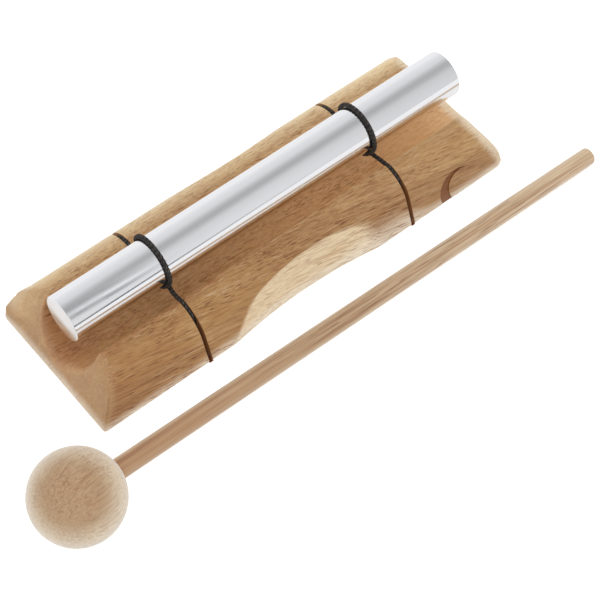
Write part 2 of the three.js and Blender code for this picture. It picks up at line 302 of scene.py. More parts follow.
class Finish:
    """The nodes of a material or the world, and the shader that they end in."""

    def __init__(self, owner):
        self.owner = owner
        owner.use_nodes = True
        self.tree = owner.node_tree
        self.tree.nodes.clear()

    def add(self, kind, settings=None, values=None, output=0):
        node = self.tree.nodes.new(kind)
        for name, setting in (settings or {}).items():
            if name == "stops":
                self.set_stops(node.color_ramp, setting)
            else:
                setattr(node, name, setting)
        for name, value in (values or {}).items():
            if isinstance(value, Reading):
                self.tree.links.new(value.socket, node.inputs[name])
            else:
                node.inputs[name].default_value = value
        return Reading(self, node.outputs[output])

    def set_stops(self, ramp, stops):
        while len(ramp.elements) < len(stops):
            ramp.elements.new(1)
        for element, (place, tone) in zip(ramp.elements, stops):
            element.position = place
            element.color = (tone, tone, tone, 1)

    def place(self):
        return self.add("ShaderNodeTexCoord", output="Object")

    def maths(self, operation, first, second=None):
        values = {0: first} if second is None else {0: first, 1: second}
        return self.add("ShaderNodeMath", {"operation": operation}, values)

    def parts(self, vector):
        node = self.add("ShaderNodeSeparateXYZ", values={"Vector": vector}).socket.node
        return [Reading(self, socket) for socket in node.outputs]

    def turned(self, **values):
        """A place seen from a turned or shifted board, as its grain runs."""
        return self.add("ShaderNodeMapping", {"vector_type": "TEXTURE"}, values)

    def stretched(self, vector, along, across):
        settings = {"operation": "MULTIPLY"}
        return self.add("ShaderNodeVectorMath", settings, {0: vector, 1: (along, across, across)})

    def cloud(self, vector, detail=2, roughness=0.5, distortion=0):
        values = {"Vector": vector, "Scale": 1, "Detail": detail}
        values |= {"Roughness": roughness, "Distortion": distortion}
        return self.add("ShaderNodeTexNoise", values=values)

    def between(self, value, low, high, start=0, end=1):
        """Runs smoothly from start at low to end at high."""
        settings = {"interpolation_type": "SMOOTHSTEP"}
        values = {"Value": value, "From Min": low, "From Max": high, "To Min": start, "To Max": end}
        return self.add("ShaderNodeMapRange", settings, values)

    def mixed(self, share, first, second, way="MIX"):
        settings = {"data_type": "RGBA", "blend_type": way}
        return self.add("ShaderNodeMix", settings, {0: share, 6: first, 7: second}, 2)

    def bumped(self, height, strength, distance):
        values = {"Height": height, "Strength": strength, "Distance": distance}
        return self.add("ShaderNodeBump", values=values)

    def shader(self, **values):
        named = {name.replace("_", " "): value for name, value in values.items()}
        self.end(self.add("ShaderNodeBsdfPrincipled", values=named))

    def end(self, shader):
        kind = "World" if isinstance(self.owner, bpy.types.World) else "Material"
        output = self.tree.nodes.new("ShaderNodeOutput" + kind)
        self.tree.links.new(shader.socket, output.inputs["Surface"])


def new_finish(name):
    return Finish(bpy.data.materials.new(name))


def wood_streaks(finish, place, pale, middle, dark):
    """The broad and narrow streaks of a board whose grain runs along X."""
    broad = finish.cloud(finish.stretched(place, 6, 55), 3, 0.55, 0.4)
    streak = finish.cloud(finish.stretched(place, 9, 260), 4, 0.6, 0.3)
    tone = finish.mixed(finish.between(broad, 0.38, 0.64, 0, 0.8), middle, dark)
    tone = finish.mixed(finish.between(streak, 0.48, 0.74, 0, 0.55), tone, pale)
    return finish.mixed(finish.between(streak, 0.46, 0.3, 0, 0.35), tone, dark)


def wood_lines(finish, place, tone, strength):
    """Fine lines, fibres and open pores on a tone; gives the colour, the pores and the fibres."""
    lines = finish.cloud(finish.stretched(place, 55, 1300), 3, 0.6)
    fibre = finish.cloud(finish.stretched(place, 120, 3300), 1, 0.5)
    dashes = finish.cloud(finish.stretched(place, 230, 3200), 1, 0.4)
    patch = finish.cloud(finish.stretched(place, 22, 110), 2)
    drawn = finish.between(lines, 0.5, 0.64) * finish.between(patch, 0.3, 0.6, 0.45, 1)
    shaded = finish.between(fibre, 0.58, 0.36, 0, 0.4 * strength)
    shining = finish.between(lines, 0.44, 0.3, 0, 0.16 * strength)
    pores = finish.between(dashes, 0.58, 0.66) * finish.between(patch, 0.36, 0.58, 0.2, 1)
    tone = finish.mixed(drawn * (0.6 * strength), tone, LINE_SHADE, "MULTIPLY")
    tone = finish.mixed(shaded, tone, FIBRE_SHADE, "MULTIPLY")
    tone = finish.mixed(shining, tone, FIBRE_SHINE, "SCREEN")
    tone = finish.mixed(pores * (0.62 * strength), tone, PORE_SHADE, "MULTIPLY")
    return tone, pores, fibre - drawn * 0.5


def depth_in_block(finish, side, z):
    """How deep the surface lies under the outer shape of the block."""
    level, rising = math.cos(SIDE_LEAN), math.sin(SIDE_LEAN)
    from_side = level * HALF_WIDTH - side * level - z * rising
    out, over = finish.maths("MAXIMUM", side - SHOULDER_Y, 0.0), z - SHOULDER_Z
    from_shoulder = SHOULDER_RADIUS - finish.maths("SQRT", out * out + over * over)
    on_shoulder = over > out * math.tan(SIDE_LEAN)
    return from_side * (1 - on_shoulder) + from_shoulder * on_shoulder


def heart_and_bar_shade(finish, place, x, y):
    """A darker heartwood streak beside the trough, which also serves as painted shade of the bar;
    it fades to the right.
    """
    across = y + finish.cloud(finish.stretched(place, 10, 40), 2) * (10 * MM)
    heart_streak_and_shade = finish.between(across, -12.5 * MM, -9 * MM) * finish.between(across, 14 * MM, 0)
    heart_streak_and_shade = heart_streak_and_shade * finish.between(x, 40 * MM, -30 * MM, 0.1, 1)
    threads = finish.cloud(finish.stretched(place, 8, 420), 3)
    return heart_streak_and_shade * finish.between(threads, 0.3, 0.7, 0.05, 0.6)


def base_wood():
    finish = new_finish("oiled tan hardwood")
    place = finish.place()
    x, y, z = finish.parts(place)
    side = abs(y)
    grain = finish.turned(Vector=place, Rotation=(0, GRAIN_DIP, GRAIN_TURN))
    tone = wood_streaks(finish, grain, PALE_GRAIN, MIDDLE_GRAIN, DARK_GRAIN)
    # The heartwood streak, partly painted shade of the bar.
    tone = finish.mixed(heart_and_bar_shade(finish, place, x, y), tone, HEART_AND_BAR_SHADE)

    # The trough is paler, more so to the right; its left end carries painted shade of the bar,
    # deepest towards the back.
    height = z - TROUGH_CENTRE
    from_axis = finish.maths("SQRT", y * y + height * height)
    in_trough = finish.between(from_axis, TROUGH_RADIUS + 1.6 * MM, TROUGH_RADIUS)
    paler_trough = in_trough * finish.between(x, -40 * MM, 40 * MM, 0.45, 0.9)
    tone = finish.mixed(paler_trough, tone, PALE_TROUGH)
    left_end_bar_shade = finish.between(x, -56 * MM, -76 * MM)
    left_end_bar_shade = left_end_bar_shade * finish.between(y, -11 * MM, 1 * MM, 0.12, 0.6)
    tone = finish.mixed(in_trough * left_end_bar_shade, tone, TROUGH_BAR_SHADE)

    # The block lightens a little to the right, and has painted shade at the near left.
    tone = finish.mixed(finish.between(x, -60 * MM, 70 * MM, 0, 0.1), tone, LIGHT_RIGHT)
    near_left_shade = finish.between(x, -40 * MM, -68 * MM) * finish.between(y, -14 * MM, -20 * MM)
    tone = finish.mixed(near_left_shade * 0.3, tone, NEAR_LEFT_SHADE)

    # The scooped grips are sanded paler.
    sunk = depth_in_block(finish, side, z)
    full = finish.between(x, 0, 28 * MM, 0.45 * MM, 1.0 * MM)
    scooped = finish.between(sunk, 0.02 * MM, full) * (side > 15.5 * MM) * (abs(x) < 40 * MM)
    tone = finish.mixed(scooped * 0.84, tone, SANDED_GRIP)

    # Painted light bounced from the table pales the sharp foot all round, reaching highest at the
    # right of the grips.
    reach = finish.between(abs(x), 48 * MM, 30 * MM, 3.8 * MM, 5 * MM)
    right_of_grip = finish.between(x, 10 * MM, 28 * MM) * finish.between(x, 52 * MM, 34 * MM)
    reach = reach + right_of_grip * (6 * MM)
    outside = from_axis > TROUGH_RADIUS + 0.1 * MM
    foot = finish.between(z / reach, 1, 0.03) * outside
    foot = foot * finish.between(x, -80 * MM, -70 * MM, 0.65, 0.8)
    tone = finish.mixed(foot, tone, FOOT_BOUNCE_LIGHT)

    # The ends and their edges carry painted highlight, mostly at the right.
    from_end = (BASE_LENGTH / 2 - abs(x)) * math.cos(END_LEAN) - z * math.sin(END_LEAN)
    end_glare = finish.between(from_end, 3.6 * MM, 0.4 * MM)
    end_glare = end_glare * finish.between(x, -10 * MM, 10 * MM, 0.1, 0.75)
    tone = finish.mixed(end_glare, tone, END_GLARE)

    # The far shoulder carries painted light, with a painted highlight along its outer edge.
    on_end = finish.between(from_end, 2.5 * MM, 0.4 * MM)
    # This mask marks where light is painted on the far shoulder.
    far = finish.between(y, 11 * MM, 22 * MM) * finish.between(z, 4 * MM, 10 * MM)
    far = far * (1 - on_end * 0.7)
    far_light_share = far * finish.between(x, 20 * MM, 70 * MM, 0.66, 0.88)
    tone = finish.mixed(far_light_share, tone, FAR_SHOULDER_LIGHT)
    tone = finish.mixed(far * finish.between(y, 19.5 * MM, 24 * MM, 0, 0.6), tone, FAR_EDGE_GLARE)

    # The grain shows less where the wood is sanded or carries the far shoulder's painted light, and
    # least on the ends.
    strength = (1 - on_end * 0.6) * (1 - scooped * 0.35) * (1 - far * 0.4)
    strength = strength * finish.between(x, 35 * MM, 65 * MM, 1, 0.7)
    tone, pores, fibre = wood_lines(finish, grain, tone, strength)

    # The saw and the engraving tool leave browned walls.
    in_kerf = abs(abs(x) - KERF_X) < KERF_WIDTH / 2 + 0.05 * MM
    tone = finish.mixed(in_kerf * (sunk > 0.2 * MM) * outside * 0.9, tone, SAWN_WALL)
    by_moon = (abs(x - MOON_X) < 9 * MM) * (y < -20 * MM) * (z < 9.8 * MM) * (z > 0.1 * MM)
    browned = finish.mixed(fibre, ENGRAVED_DARK, ENGRAVED_LIGHT)
    tone = finish.mixed(by_moon * (sunk > 0.1 * MM) * 0.94, tone, browned)

    finish.shader(Base_Color=tone, Roughness=0.5 + fibre * 0.1 + pores * 0.15,
                  Normal=finish.bumped(fibre * 0.35 - pores, 0.35, 0.12 * MM),
                  Coat_Weight=0.15, Coat_Roughness=0.35, Sheen_Weight=0.04, Sheen_Roughness=0.45)
    return finish.owner


def ball_crown_and_rim_light(finish, tone):
    """The ball is darker and more orange round its crown; painted rim light pales it towards the
    table.
    """
    places = {0: finish.place(), 1: BALL_CROWN}
    from_crown = finish.add("ShaderNodeVectorMath", {"operation": "DISTANCE"}, places, "Value")
    tone = finish.mixed(finish.between(from_crown, 15 * MM, 5 * MM, 0, 0.35), tone, BALL_TAN)
    return finish.mixed(finish.between(from_crown, 8 * MM, 18 * MM, 0, 0.75), tone, BALL_RIM_LIGHT)


def stick_tones_and_rim_light(finish, tone, along, across, up):
    """The stick is darker near the ball and paler towards its tip; painted rim light pales it away
    from its upper front, towards its outline.
    """
    from_top = up * 0.87 - across * 0.49
    tone = finish.mixed(finish.between(along, 110 * MM, 10 * MM, 0, 0.5), tone, STICK_TAN)
    tone = finish.mixed(finish.between(along, 50 * MM, 200 * MM, 0, 0.6), tone, STICK_PALE)
    return finish.mixed(finish.between(from_top, 2.6 * MM, 0.4 * MM, 0, 0.6), tone, STICK_RIM_LIGHT)


def mallet_wood(name, shift, turn, *tones):
    """The ball's wood, with its grain turned away from the stick's, or the stick's own."""
    finish = new_finish(name)
    place = finish.turned(Vector=finish.place(), Location=BALL_PLACE,
                          Rotation=(0, MALLET_DIP + turn, MALLET_TURN + turn))
    along, across, up = finish.parts(place)
    shifted = {0: place, 1: (shift, shift, shift)}
    place = finish.add("ShaderNodeVectorMath", {"operation": "ADD"}, shifted)
    if turn == 0:
        place = finish.stretched(place, 0.35, 1)
        tone = stick_tones_and_rim_light(finish, wood_streaks(finish, place, *tones), along, across, up)
        tone, pores, fibre = wood_lines(finish, place, tone, 0.9)
    else:
        tone = ball_crown_and_rim_light(finish, wood_streaks(finish, place, *tones))
        tone, pores, fibre = wood_lines(finish, place, tone, 0.55)
    finish.shader(Base_Color=tone, Roughness=0.55 + fibre * 0.1,
                  Normal=finish.bumped(fibre * 0.4 - pores, 0.35, 0.1 * MM),
                  Coat_Weight=0.1, Coat_Roughness=0.4, Sheen_Weight=0.9, Sheen_Roughness=0.4)
    return finish.owner


def bar_metal():
    finish = new_finish("polished aluminium")
    place = finish.place()
    draw = finish.cloud(finish.stretched(place, 8, 2600), 3, 0.6)
    smudge = finish.cloud(finish.stretched(place, 60, 120), 3, 0.55)
    rough = 0.06 + finish.between(draw, 0.35, 0.7, 0, 0.04)
    rough = rough + finish.between(smudge, 0.45, 0.7, 0, 0.05)
    tone = finish.mixed(draw, METAL_DARK, METAL_LIGHT)
    finish.shader(Base_Color=tone, Metallic=1.0, Roughness=rough,
                  Normal=finish.bumped(draw, 0.05, 0.02 * MM))
    return finish.owner


def cord_fibre(name, deep, pale_tone):
    finish = new_finish(name)
    place = finish.place()
    fuzz = finish.cloud(finish.stretched(place, 2600, 2600), 3, 0.65)
    dust = finish.cloud(finish.stretched(place, 420, 420), 2)
    tone = finish.mixed(finish.between(fuzz, 0.35, 0.7), deep, pale_tone)
    tone = finish.mixed(finish.between(dust, 0.5, 0.75, 0, 0.3), tone, CORD_DUST)
    finish.shader(Base_Color=tone, Roughness=0.62 + fuzz * 0.2,
                  Normal=finish.bumped(fuzz, 0.5, 0.06 * MM))
    return finish.owner


def dress(piece, *finishes):
    piece.data.materials.clear()
    for finish in finishes:
        piece.data.materials.append(finish)


def alone(piece):
    bpy.ops.object.select_all(action="DESELECT")
    piece.select_set(True)
    bpy.context.view_layer.objects.active = piece


def settle(piece, name):
    """Applies the place and turn, so that the piece's object sits at the origin."""
    alone(piece)
    bpy.ops.object.transform_apply(location=True, rotation=True, scale=True)
    piece.name = piece.data.name = name
    return piece


def pick(piece, edges=None, faces=None):
    """Goes into edit mode with only the edges or faces picked for which the test holds."""
    alone(piece)
    bpy.ops.object.mode_set(mode="EDIT")
    bpy.ops.mesh.select_mode(type="EDGE" if edges else "FACE")
    bpy.ops.mesh.select_all(action="DESELECT")
    bpy.ops.object.mode_set(mode="OBJECT")
    points = piece.data.vertices
    if edges:
        for edge in piece.data.edges:
            edge.select = edges(points[edge.vertices[0]].co, points[edge.vertices[1]].co)
    if faces:
        for face in piece.data.polygons:
            face.select = faces(face)
    bpy.ops.object.mode_set(mode="EDIT")


def leave():
    bpy.ops.object.mode_set(mode="OBJECT")


def cut(piece, cutter):
    alone(piece)
    modifier = piece.modifiers.new("cut", "BOOLEAN")
    modifier.operation = "DIFFERENCE"
    modifier.solver = "EXACT"
    modifier.object = cutter
    bpy.ops.object.modifier_apply(modifier=modifier.name)
    bpy.data.objects.remove(cutter)


def smooth_shaded(piece):
    """Shades smoothly over all but sharp edges, with flat faces kept flat."""
    alone(piece)
    bpy.ops.object.shade_smooth_by_angle(angle=SMOOTH_ANGLE)
    modifier = piece.modifiers.new("even", "WEIGHTED_NORMAL")
    modifier.keep_sharp = True
    bpy.ops.object.modifier_apply(modifier=modifier.name)


def board(outline, start, run, name):
    """A flat outline of corner points, pulled out along run into a closed board."""
    bpy.ops.object.select_all(action="DESELECT")
    bpy.ops.mesh.primitive_circle_add(vertices=len(outline), fill_type="NGON")
    piece = bpy.context.object
    for vertex, point in zip(piece.data.vertices, outline):
        vertex.co = Vector(point) + Vector(start)
    pick(piece, faces=lambda face: True)
    bpy.ops.mesh.extrude_region_move(TRANSFORM_OT_translate={"value": tuple(run)})
    bpy.ops.mesh.select_all(action="SELECT")
    bpy.ops.mesh.normals_make_consistent(inside=False)
    leave()
    return settle(piece, name)


def rod(sides, radius, length, middle, name):
    """A round rod along X whose middle lies at the given place."""
    bpy.ops.object.select_all(action="DESELECT")
    bpy.ops.mesh.primitive_cylinder_add(
        vertices=sides, radius=radius, depth=length, location=middle,
        rotation=(0, math.pi / 2, 0))
    return settle(bpy.context.object, name)


def arc(centre, radius, start, end, steps):
    for step in range(steps + 1):
        angle = start + (end - start) * step / steps
        yield centre + Vector((math.cos(angle), math.sin(angle))) * radius


def bent(points, radius, steps=6):
    """Puts a round bend at each inner corner of a line of points in Y and Z."""
    line = [points[0]]
    for before, corner, after in zip(points, points[1:], points[2:]):
        back, ahead = before - corner, after - corner
        room = min(back.length, ahead.length) / 2
        back.normalize()
        ahead.normalize()
        half = back.angle(ahead) / 2
        reach = min(radius / math.tan(half), room)
        centre = corner + (back + ahead).normalized() * (reach / math.cos(half))
        start, end = corner + back * reach - centre, corner + ahead * reach - centre
        for step in range(steps + 1):
            line.append(centre + start.slerp(end, step / steps) * start.length)
    line.append(points[-1])
    return line


def section():
    """The base's outline across the bar: foot, leaning side, shoulder, rim and trough."""
    shoulder, hollow = Vector((SHOULDER_Y, SHOULDER_Z)), Vector((0, TROUGH_CENTRE))
    between = hollow - shoulder
    near, away = SHOULDER_RADIUS - RIM_RADIUS, TROUGH_RADIUS + RIM_RADIUS
    along = (near ** 2 - away ** 2 + between.length_squared) / (2 * between.length)
    up = Vector((between.y, -between.x)).normalized()
    rim = shoulder + between.normalized() * along + up * math.sqrt(near ** 2 - along ** 2)
    rise = math.atan2(*(rim - shoulder).yx)
    fall = math.atan2(*(rim - hollow).yx)
    side = list(arc(shoulder, SHOULDER_RADIUS, SIDE_LEAN, rise, 20))
    half = bent([Vector((0, 0)), Vector((HALF_WIDTH, 0)), side[0]], FOOT_RADIUS, 4)[1:-1]
    half += side
    half += list(arc(rim, RIM_RADIUS, rise, math.pi + fall, 8))[1:]
    half += list(arc(hollow, TROUGH_RADIUS, fall, -math.pi / 2, 30))[1:]
    return half + [Vector((-point.x, point.y)) for point in reversed(half[:-1])]


def base_blank():
    length = BASE_LENGTH + 2 * BLANK_SPARE
    outline = [(0, *point) for point in section()]
    return board(outline, (-length / 2, 0, 0), (length, 0, 0), "blank")


def end_plane(way):
    """A point at the foot of the leaning end, and which way is out of the wood there."""
    foot = Vector((way * BASE_LENGTH / 2, 0, 0))
    return foot, Vector((way * math.cos(END_LEAN), 0, math.sin(END_LEAN)))


def leaning_ends(blank):
    """Saws both ends off at a lean and lays a net of edges over them for the sanding."""
    for way in (-1, 1):
        foot, out = end_plane(way)
        for depth in (0, *NET_DEPTHS):
            pick(blank, faces=lambda face: True)
            bpy.ops.mesh.bisect(
                plane_co=foot - out * depth * MM, plane_no=out,
                use_fill=depth == 0, clear_outer=depth == 0)
            leave()

        def on_end(face):
            return face.normal.dot(out) > 0.999

        pick(blank, faces=on_end)
        for ring in range(2):
            bpy.ops.mesh.inset(thickness=NET_INSET, depth=0)
        leave()
        cuts = [((0, 0, (level + 0.5) * MM), (0, 0, 1)) for level in range(1, 17)]
        cuts += [((0, (row + 0.5) * MM, 0), (0, 1, 0)) for row in range(-27, 27)]
        for place, direction in cuts:
            pick(blank, faces=on_end)
            bpy.ops.mesh.bisect(plane_co=place, plane_no=direction)
            leave()


def nearest(outline, point):
    """How far a point is from the outline, and which way is out of the wood there."""
    best, out = 1, Vector((0, 0))
    for a, b in zip(outline, outline[1:] + outline[:1]):
        run = b - a
        share = min(max((point - a).dot(run) / run.length_squared, 0), 1)
        gap = (point - a - run * share).length
        if gap < best + 1e-7:
            normal = Vector((run.y, -run.x)).normalized()
            out = out + normal if abs(gap - best) < 1e-7 else normal
            best = min(best, gap)
    return best, out.normalized()


def softness(point, out, over_shoulder):
    """How widely the end's edge is rounded near a point, by where it lies on the outline."""
    outward = out.x * math.copysign(1, point.y)
    inside = 1 if abs(point.y) < TROUGH_RADIUS else smooth(-0.1, -0.9, outward)
    trough_edge = TROUGH_EDGE
    if point.x < 0:
        # At the left end the trough's edge is crisp at the back and worn at the front.
        trough_edge = CRISP_EDGE + FRONT_WEAR * smooth(3 * MM, -4 * MM, point.y)
    outside = max(over_shoulder * smooth(0.36, 0.8, out.y), FOOT_RADIUS)
    return outside + (trough_edge - outside) * inside


def pressed(u_depth, u_out, v_depth, v_out, reach):
    """How far a point between two faces moves in when their edge is rounded."""
    u, v = 1 - u_depth / reach, 1 - v_depth / reach
    if u <= 0 or v <= 0:
        return Vector((0, 0, 0))
    shrink = reach * (1 - max(u, v) / math.hypot(u, v))
    skew = u_out.dot(v_out)
    inward = u_out * (u - skew * v) + v_out * (v - skew * u)
    return inward * (shrink / (1 - skew * skew))


def sanded_ends(blank):
    """Rounds the upright corners, then the edge between each end and the outline."""
    outline = section()
    for vertex in blank.data.vertices:
        place = vertex.co.copy()
        way, side = math.copysign(1, place.x), math.copysign(1, place.y)
        foot, end = end_plane(way)
        end_depth = (foot - place).dot(end)
        if end_depth > SANDED_DEPTH + 0.1 * MM:
            continue
        upright, over_shoulder = CORNER_SOFTNESS[way, side]
        flank = Vector((0, side * math.cos(SIDE_LEAN), math.sin(SIDE_LEAN)))
        flank_depth = (Vector((0, side * HALF_WIDTH, 0)) - place).dot(flank)
        level_end, level_flank = Vector((way, 0, 0)), Vector((0, side, 0))
        vertex.co -= pressed(flank_depth, level_flank, end_depth, level_end, upright)
        depth, out = nearest(outline, place.yz)
        reach = softness(place, out, over_shoulder)
        vertex.co -= pressed(depth, Vector((0, *out)), end_depth, end, reach)
        near = smooth(SANDED_DEPTH, 0.5 * MM, end_depth)
        if way < 0 < side:
            # The far left corner is sanded the least, and stays fuller.
            near = near * smooth(10 * MM, 2 * MM, flank_depth)
            level = smooth(0.2 * MM, 4 * MM, place.z) * smooth(14 * MM, 8 * MM, place.z)
            vertex.co += (end + flank) * near * level * CORNER_FULLNESS
        if way > 0:
            # The right end is sanded to a slight belly.
            level = smooth(0.2 * MM, 3.5 * MM, place.z) * smooth(17 * MM, 6 * MM, place.z)
            vertex.co.x += near * level * END_BELLY


def scoops(base):
    """A shallow grip in each long side, cut by a large leaning drum."""
    for way in (-1, 1):
        lean = Matrix.Rotation(SCOOP_LEAN * way, 3, "X")
        inward = lean @ Vector((0, -way, 0))
        turned = lean @ Matrix.Rotation(SCOOP_TILT, 3, "Y")
        deepest = Vector((SCOOP_X, way * (HALF_WIDTH - SCOOP_DEPTH), 0))
        bpy.ops.object.select_all(action="DESELECT")
        bpy.ops.mesh.primitive_cylinder_add(
            vertices=DRUM_SIDES, radius=SCOOP_RADIUS, depth=DRUM_LENGTH,
            location=deepest - inward * SCOOP_RADIUS, rotation=turned.to_euler())
        cut(base, settle(bpy.context.object, "drum"))


def touch(point, radius):
    """Where a cord from the point meets the loop round the bar: its turn and its place."""
    away = point - Vector((0, BAR_HEIGHT))
    turn = math.atan2(away.x, -away.y) - math.acos(radius / away.length)
    return turn, Vector((math.sin(turn) * radius, BAR_HEIGHT - math.cos(turn) * radius))


def kerf_floor():
    """The kerf's floor on the +Y side, from inside the trough to the middle underneath."""
    rim = Vector((TROUGH_RADIUS + RIM_BEND, TOP_HEIGHT - LEAD_DEPTH))
    seat = rim + Vector((0, CORD_RADIUS + SOLID_CORD_GAP))
    meeting = touch(seat, BAR_RADIUS + CORD_RADIUS + SOLID_CORD_GAP)[1]
    entry = rim + (meeting - seat).normalized() * ENTRY_REACH
    heel = Vector((HALF_WIDTH - KERF_DEPTH, GROOVE_DEPTH))
    knee = Vector((heel.x - KNEE_INSET, rim.y - LEAD_FALL))
    return bent([entry, rim, knee, heel, Vector((0, GROOVE_DEPTH))], FLOOR_BEND)


def kerfs(base):
    """Two saw cuts that carry the cords round the block, each with its pocket underneath."""
    floor = kerf_floor()
    high, wide, low = TOP_HEIGHT + SAW_OVERRUN, HALF_WIDTH + SAW_OVERRUN, -5 * MM
    corners = [(-wide, low), (wide, low), (wide, high), (floor[0].x, high)]
    corners += [(point.x, point.y) for point in floor]
    corners += [(-point.x, point.y) for point in reversed(floor[:-1])]
    corners += [(-floor[0].x, high), (-wide, high)]
    for x in (-KERF_X, KERF_X):
        start = (x - KERF_WIDTH / 2, 0, 0)
        cut(base, board([(0, y, z) for y, z in corners], start, (KERF_WIDTH, 0, 0), "saw"))
        bpy.ops.object.select_all(action="DESELECT")
        bpy.ops.mesh.primitive_cube_add(
            size=1, location=(x, 0, POCKET_MIDDLE), scale=POCKET_SIZE)
        cut(base, settle(bpy.context.object, "pocket cutter"))


def moon(base):
    """Engraves a plain crescent near the front right corner, to an even depth."""
    outer, outer_radius = Vector((61.3, 2.9)), 7.5
    inner, inner_radius = Vector((63.4, 3.6)), 5.8
    apart = inner - outer
    along = (outer_radius ** 2 - inner_radius ** 2 + apart.length_squared) / (2 * apart.length)
    half = math.sqrt(outer_radius ** 2 - along ** 2)
    across = Vector((-apart.y, apart.x)).normalized()
    tips = [outer + apart.normalized() * along + across * half * way for way in (1, -1)]

    def between(centre, radius):
        start = math.atan2(*(tips[0] - centre).yx)
        sweep = (math.atan2(*(tips[1] - centre).yx) - start) % (2 * math.pi)
        return list(arc(centre, radius, start, start + sweep, 40))

    flat = between(outer, outer_radius) + between(inner, inner_radius)[-2:0:-1]
    up = Vector((0, math.sin(SIDE_LEAN), math.cos(SIDE_LEAN)))
    out = Vector((0, -math.cos(SIDE_LEAN), math.sin(SIDE_LEAN)))
    start = Vector((0, -HALF_WIDTH, 0)) - out * MOON_DEPTH
    outline = [Vector((point.x, 0, 0)) * MM + up * point.y * MM for point in flat]
    cut(base, board(outline, start, out * 10 * MM, "moon cutter"))


def wooden_base():
    base = base_blank()
    leaning_ends(base)
    sanded_ends(base)
    scoops(base)
    kerfs(base)
    moon(base)
    smooth_shaded(base)
    base.name = base.data.name = "base_block"
    dress(base, base_wood())
    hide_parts("wooden_base")
    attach(base, "base")


def sounding_bar():
    bar = rod(192, BAR_RADIUS, BAR_LENGTH, (BAR_X, 0, BAR_HEIGHT), "bar_rod")
    pick(bar, edges=lambda a, b: abs(a.x - b.x) < 0.1 * MM)
    bpy.ops.mesh.bevel(offset=BAR_EDGE, segments=4, profile=0.5, affect="EDGES")
    leave()
    smooth_shaded(bar)
    dress(bar, bar_metal())
    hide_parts("chime_bar")
    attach(bar, "bar")


def cord_lane():
    """The cord's middle line along the kerf's floor, from one end of the floor to the other."""
    floor = kerf_floor()
    lane = []
    for i, point in enumerate(floor):
        run = (floor[min(i + 1, len(floor) - 1)] - floor[max(i - 1, 0)]).normalized()
        lane.append(point + Vector((-run.y, run.x)) * (CORD_RADIUS + CORD_GAP))
    return lane


def cord_line(shift):
    """The cord's middle line: from its front end, once round the bar, to its rear end."""
    lane = cord_lane()
    radius = BAR_RADIUS + CORD_RADIUS + CORD_GAP
    turn, place = touch(lane[0], radius)
    half_pass = (CORD_RADIUS * 2 + PASS_GAP) / 2
    rise = list(reversed(lane[1:-1]))
    front = [Vector((x * MM, y * MM, rise[0].y)) for x, y in TIED_END]
    front += [Vector((0, -point.x, point.y)) for point in rise]
    rear = [Vector((-point.x, -point.y, point.z)) for point in front]
    steps = 6
    for step in range(steps):
        point = lane[0].lerp(place, step / steps)
        swing = smooth(0, 0.7, step / steps)
        front.append(Vector(((shift + half_pass) * swing, -point.x, point.y)))
        rear.append(Vector(((shift - half_pass) * swing, point.x, point.y)))
    loop, steps = [], 60
    away, back = turn + PASS_HOLD, math.pi * 2 - turn
    for step in range(steps + 1):
        angle = (math.pi * 2 + turn * 2) * step / steps - turn
        leaving = 1 - smooth(away, away + PASS_SWING, angle)
        returning = smooth(back - PASS_SWING, back, angle)
        x = shift + half_pass * (leaving - returning)
        loop.append(Vector((x, radius * math.sin(angle), BAR_HEIGHT - radius * math.cos(angle))))
    return front + loop + list(reversed(rear))


def evenly(points, gap):
    """Points an even gap apart on a smooth curve through the given ones."""
    fine = []
    padded = [points[0] * 2 - points[1], *points, points[-1] * 2 - points[-2]]
    for a, b, c, d in zip(padded, padded[1:], padded[2:], padded[3:]):
        for step in range(12):
            t = step / 12
            bend = (c - a) * t + (a * 2 - b * 5 + c * 4 - d) * t * t
            fine.append(b + (bend + (b * 3 - a - c * 3 + d) * t ** 3) / 2)
    fine.append(points[-1])
    travelled = [0]
    for a, b in zip(fine, fine[1:]):
        travelled.append(travelled[-1] + (b - a).length)
    count = round(travelled[-1] / gap)
    line, at = [], 0
    for step in range(count + 1):
        wanted = travelled[-1] * step / count
        while at < len(fine) - 2 and travelled[at + 1] < wanted:
            at += 1
        span = travelled[at + 1] - travelled[at]
        line.append(fine[at].lerp(fine[at + 1], (wanted - travelled[at]) / span if span else 0))
    return line


def ease_over_rim(line):
    """Takes the kinks out of the line where it runs over the trough's rims."""
    for repeat in range(EASING_ROUNDS):
        eased = [(a + b * 2 + c) / 4 for a, b, c in zip(line, line[1:], line[2:])]
        for i, point in enumerate(eased, 1):
            if 8.6 * MM < abs(point.y) < 17 * MM and point.z < 19.5 * MM:
                line[i] = point


def carried(line):
    """Two directions across the line at each point, carried along it without twisting."""
    runs = [(b - a).normalized() for a, b in zip(line, line[1:])]
    runs.append(runs[-1])
    side = runs[0].cross(Vector((0, 0, 1))).normalized()
    frames = []
    for run in runs:
        side = (side - run * side.dot(run)).normalized()
        frames.append((side, run.cross(side)))
    return frames


def tubes(paths, radius, name, sides=2):
    """Round strands along the paths, as one mesh."""
    curve = bpy.data.curves.new(name, "CURVE")
    curve.dimensions = "3D"
    curve.bevel_depth = radius
    curve.bevel_resolution = sides
    curve.use_fill_caps = True
    for path in paths:
        spline = curve.splines.new("POLY")
        spline.points.add(len(path) - 1)
        for point, place in zip(spline.points, path):
            point.co = (*place, 1)
    piece = bpy.data.objects.new(name, curve)
    bpy.context.scene.collection.objects.link(piece)
    alone(piece)
    bpy.ops.object.convert(target="MESH")
    return bpy.context.object


def width_share(point):
    """How wide the cord is: the kerf holds it narrow, and near the bar it is free and round."""
    in_kerf = smooth(12.5 * MM, 15.5 * MM, abs(point.y)) * smooth(19.2 * MM, 17.5 * MM, point.z)
    return 1 - 0.3 * in_kerf


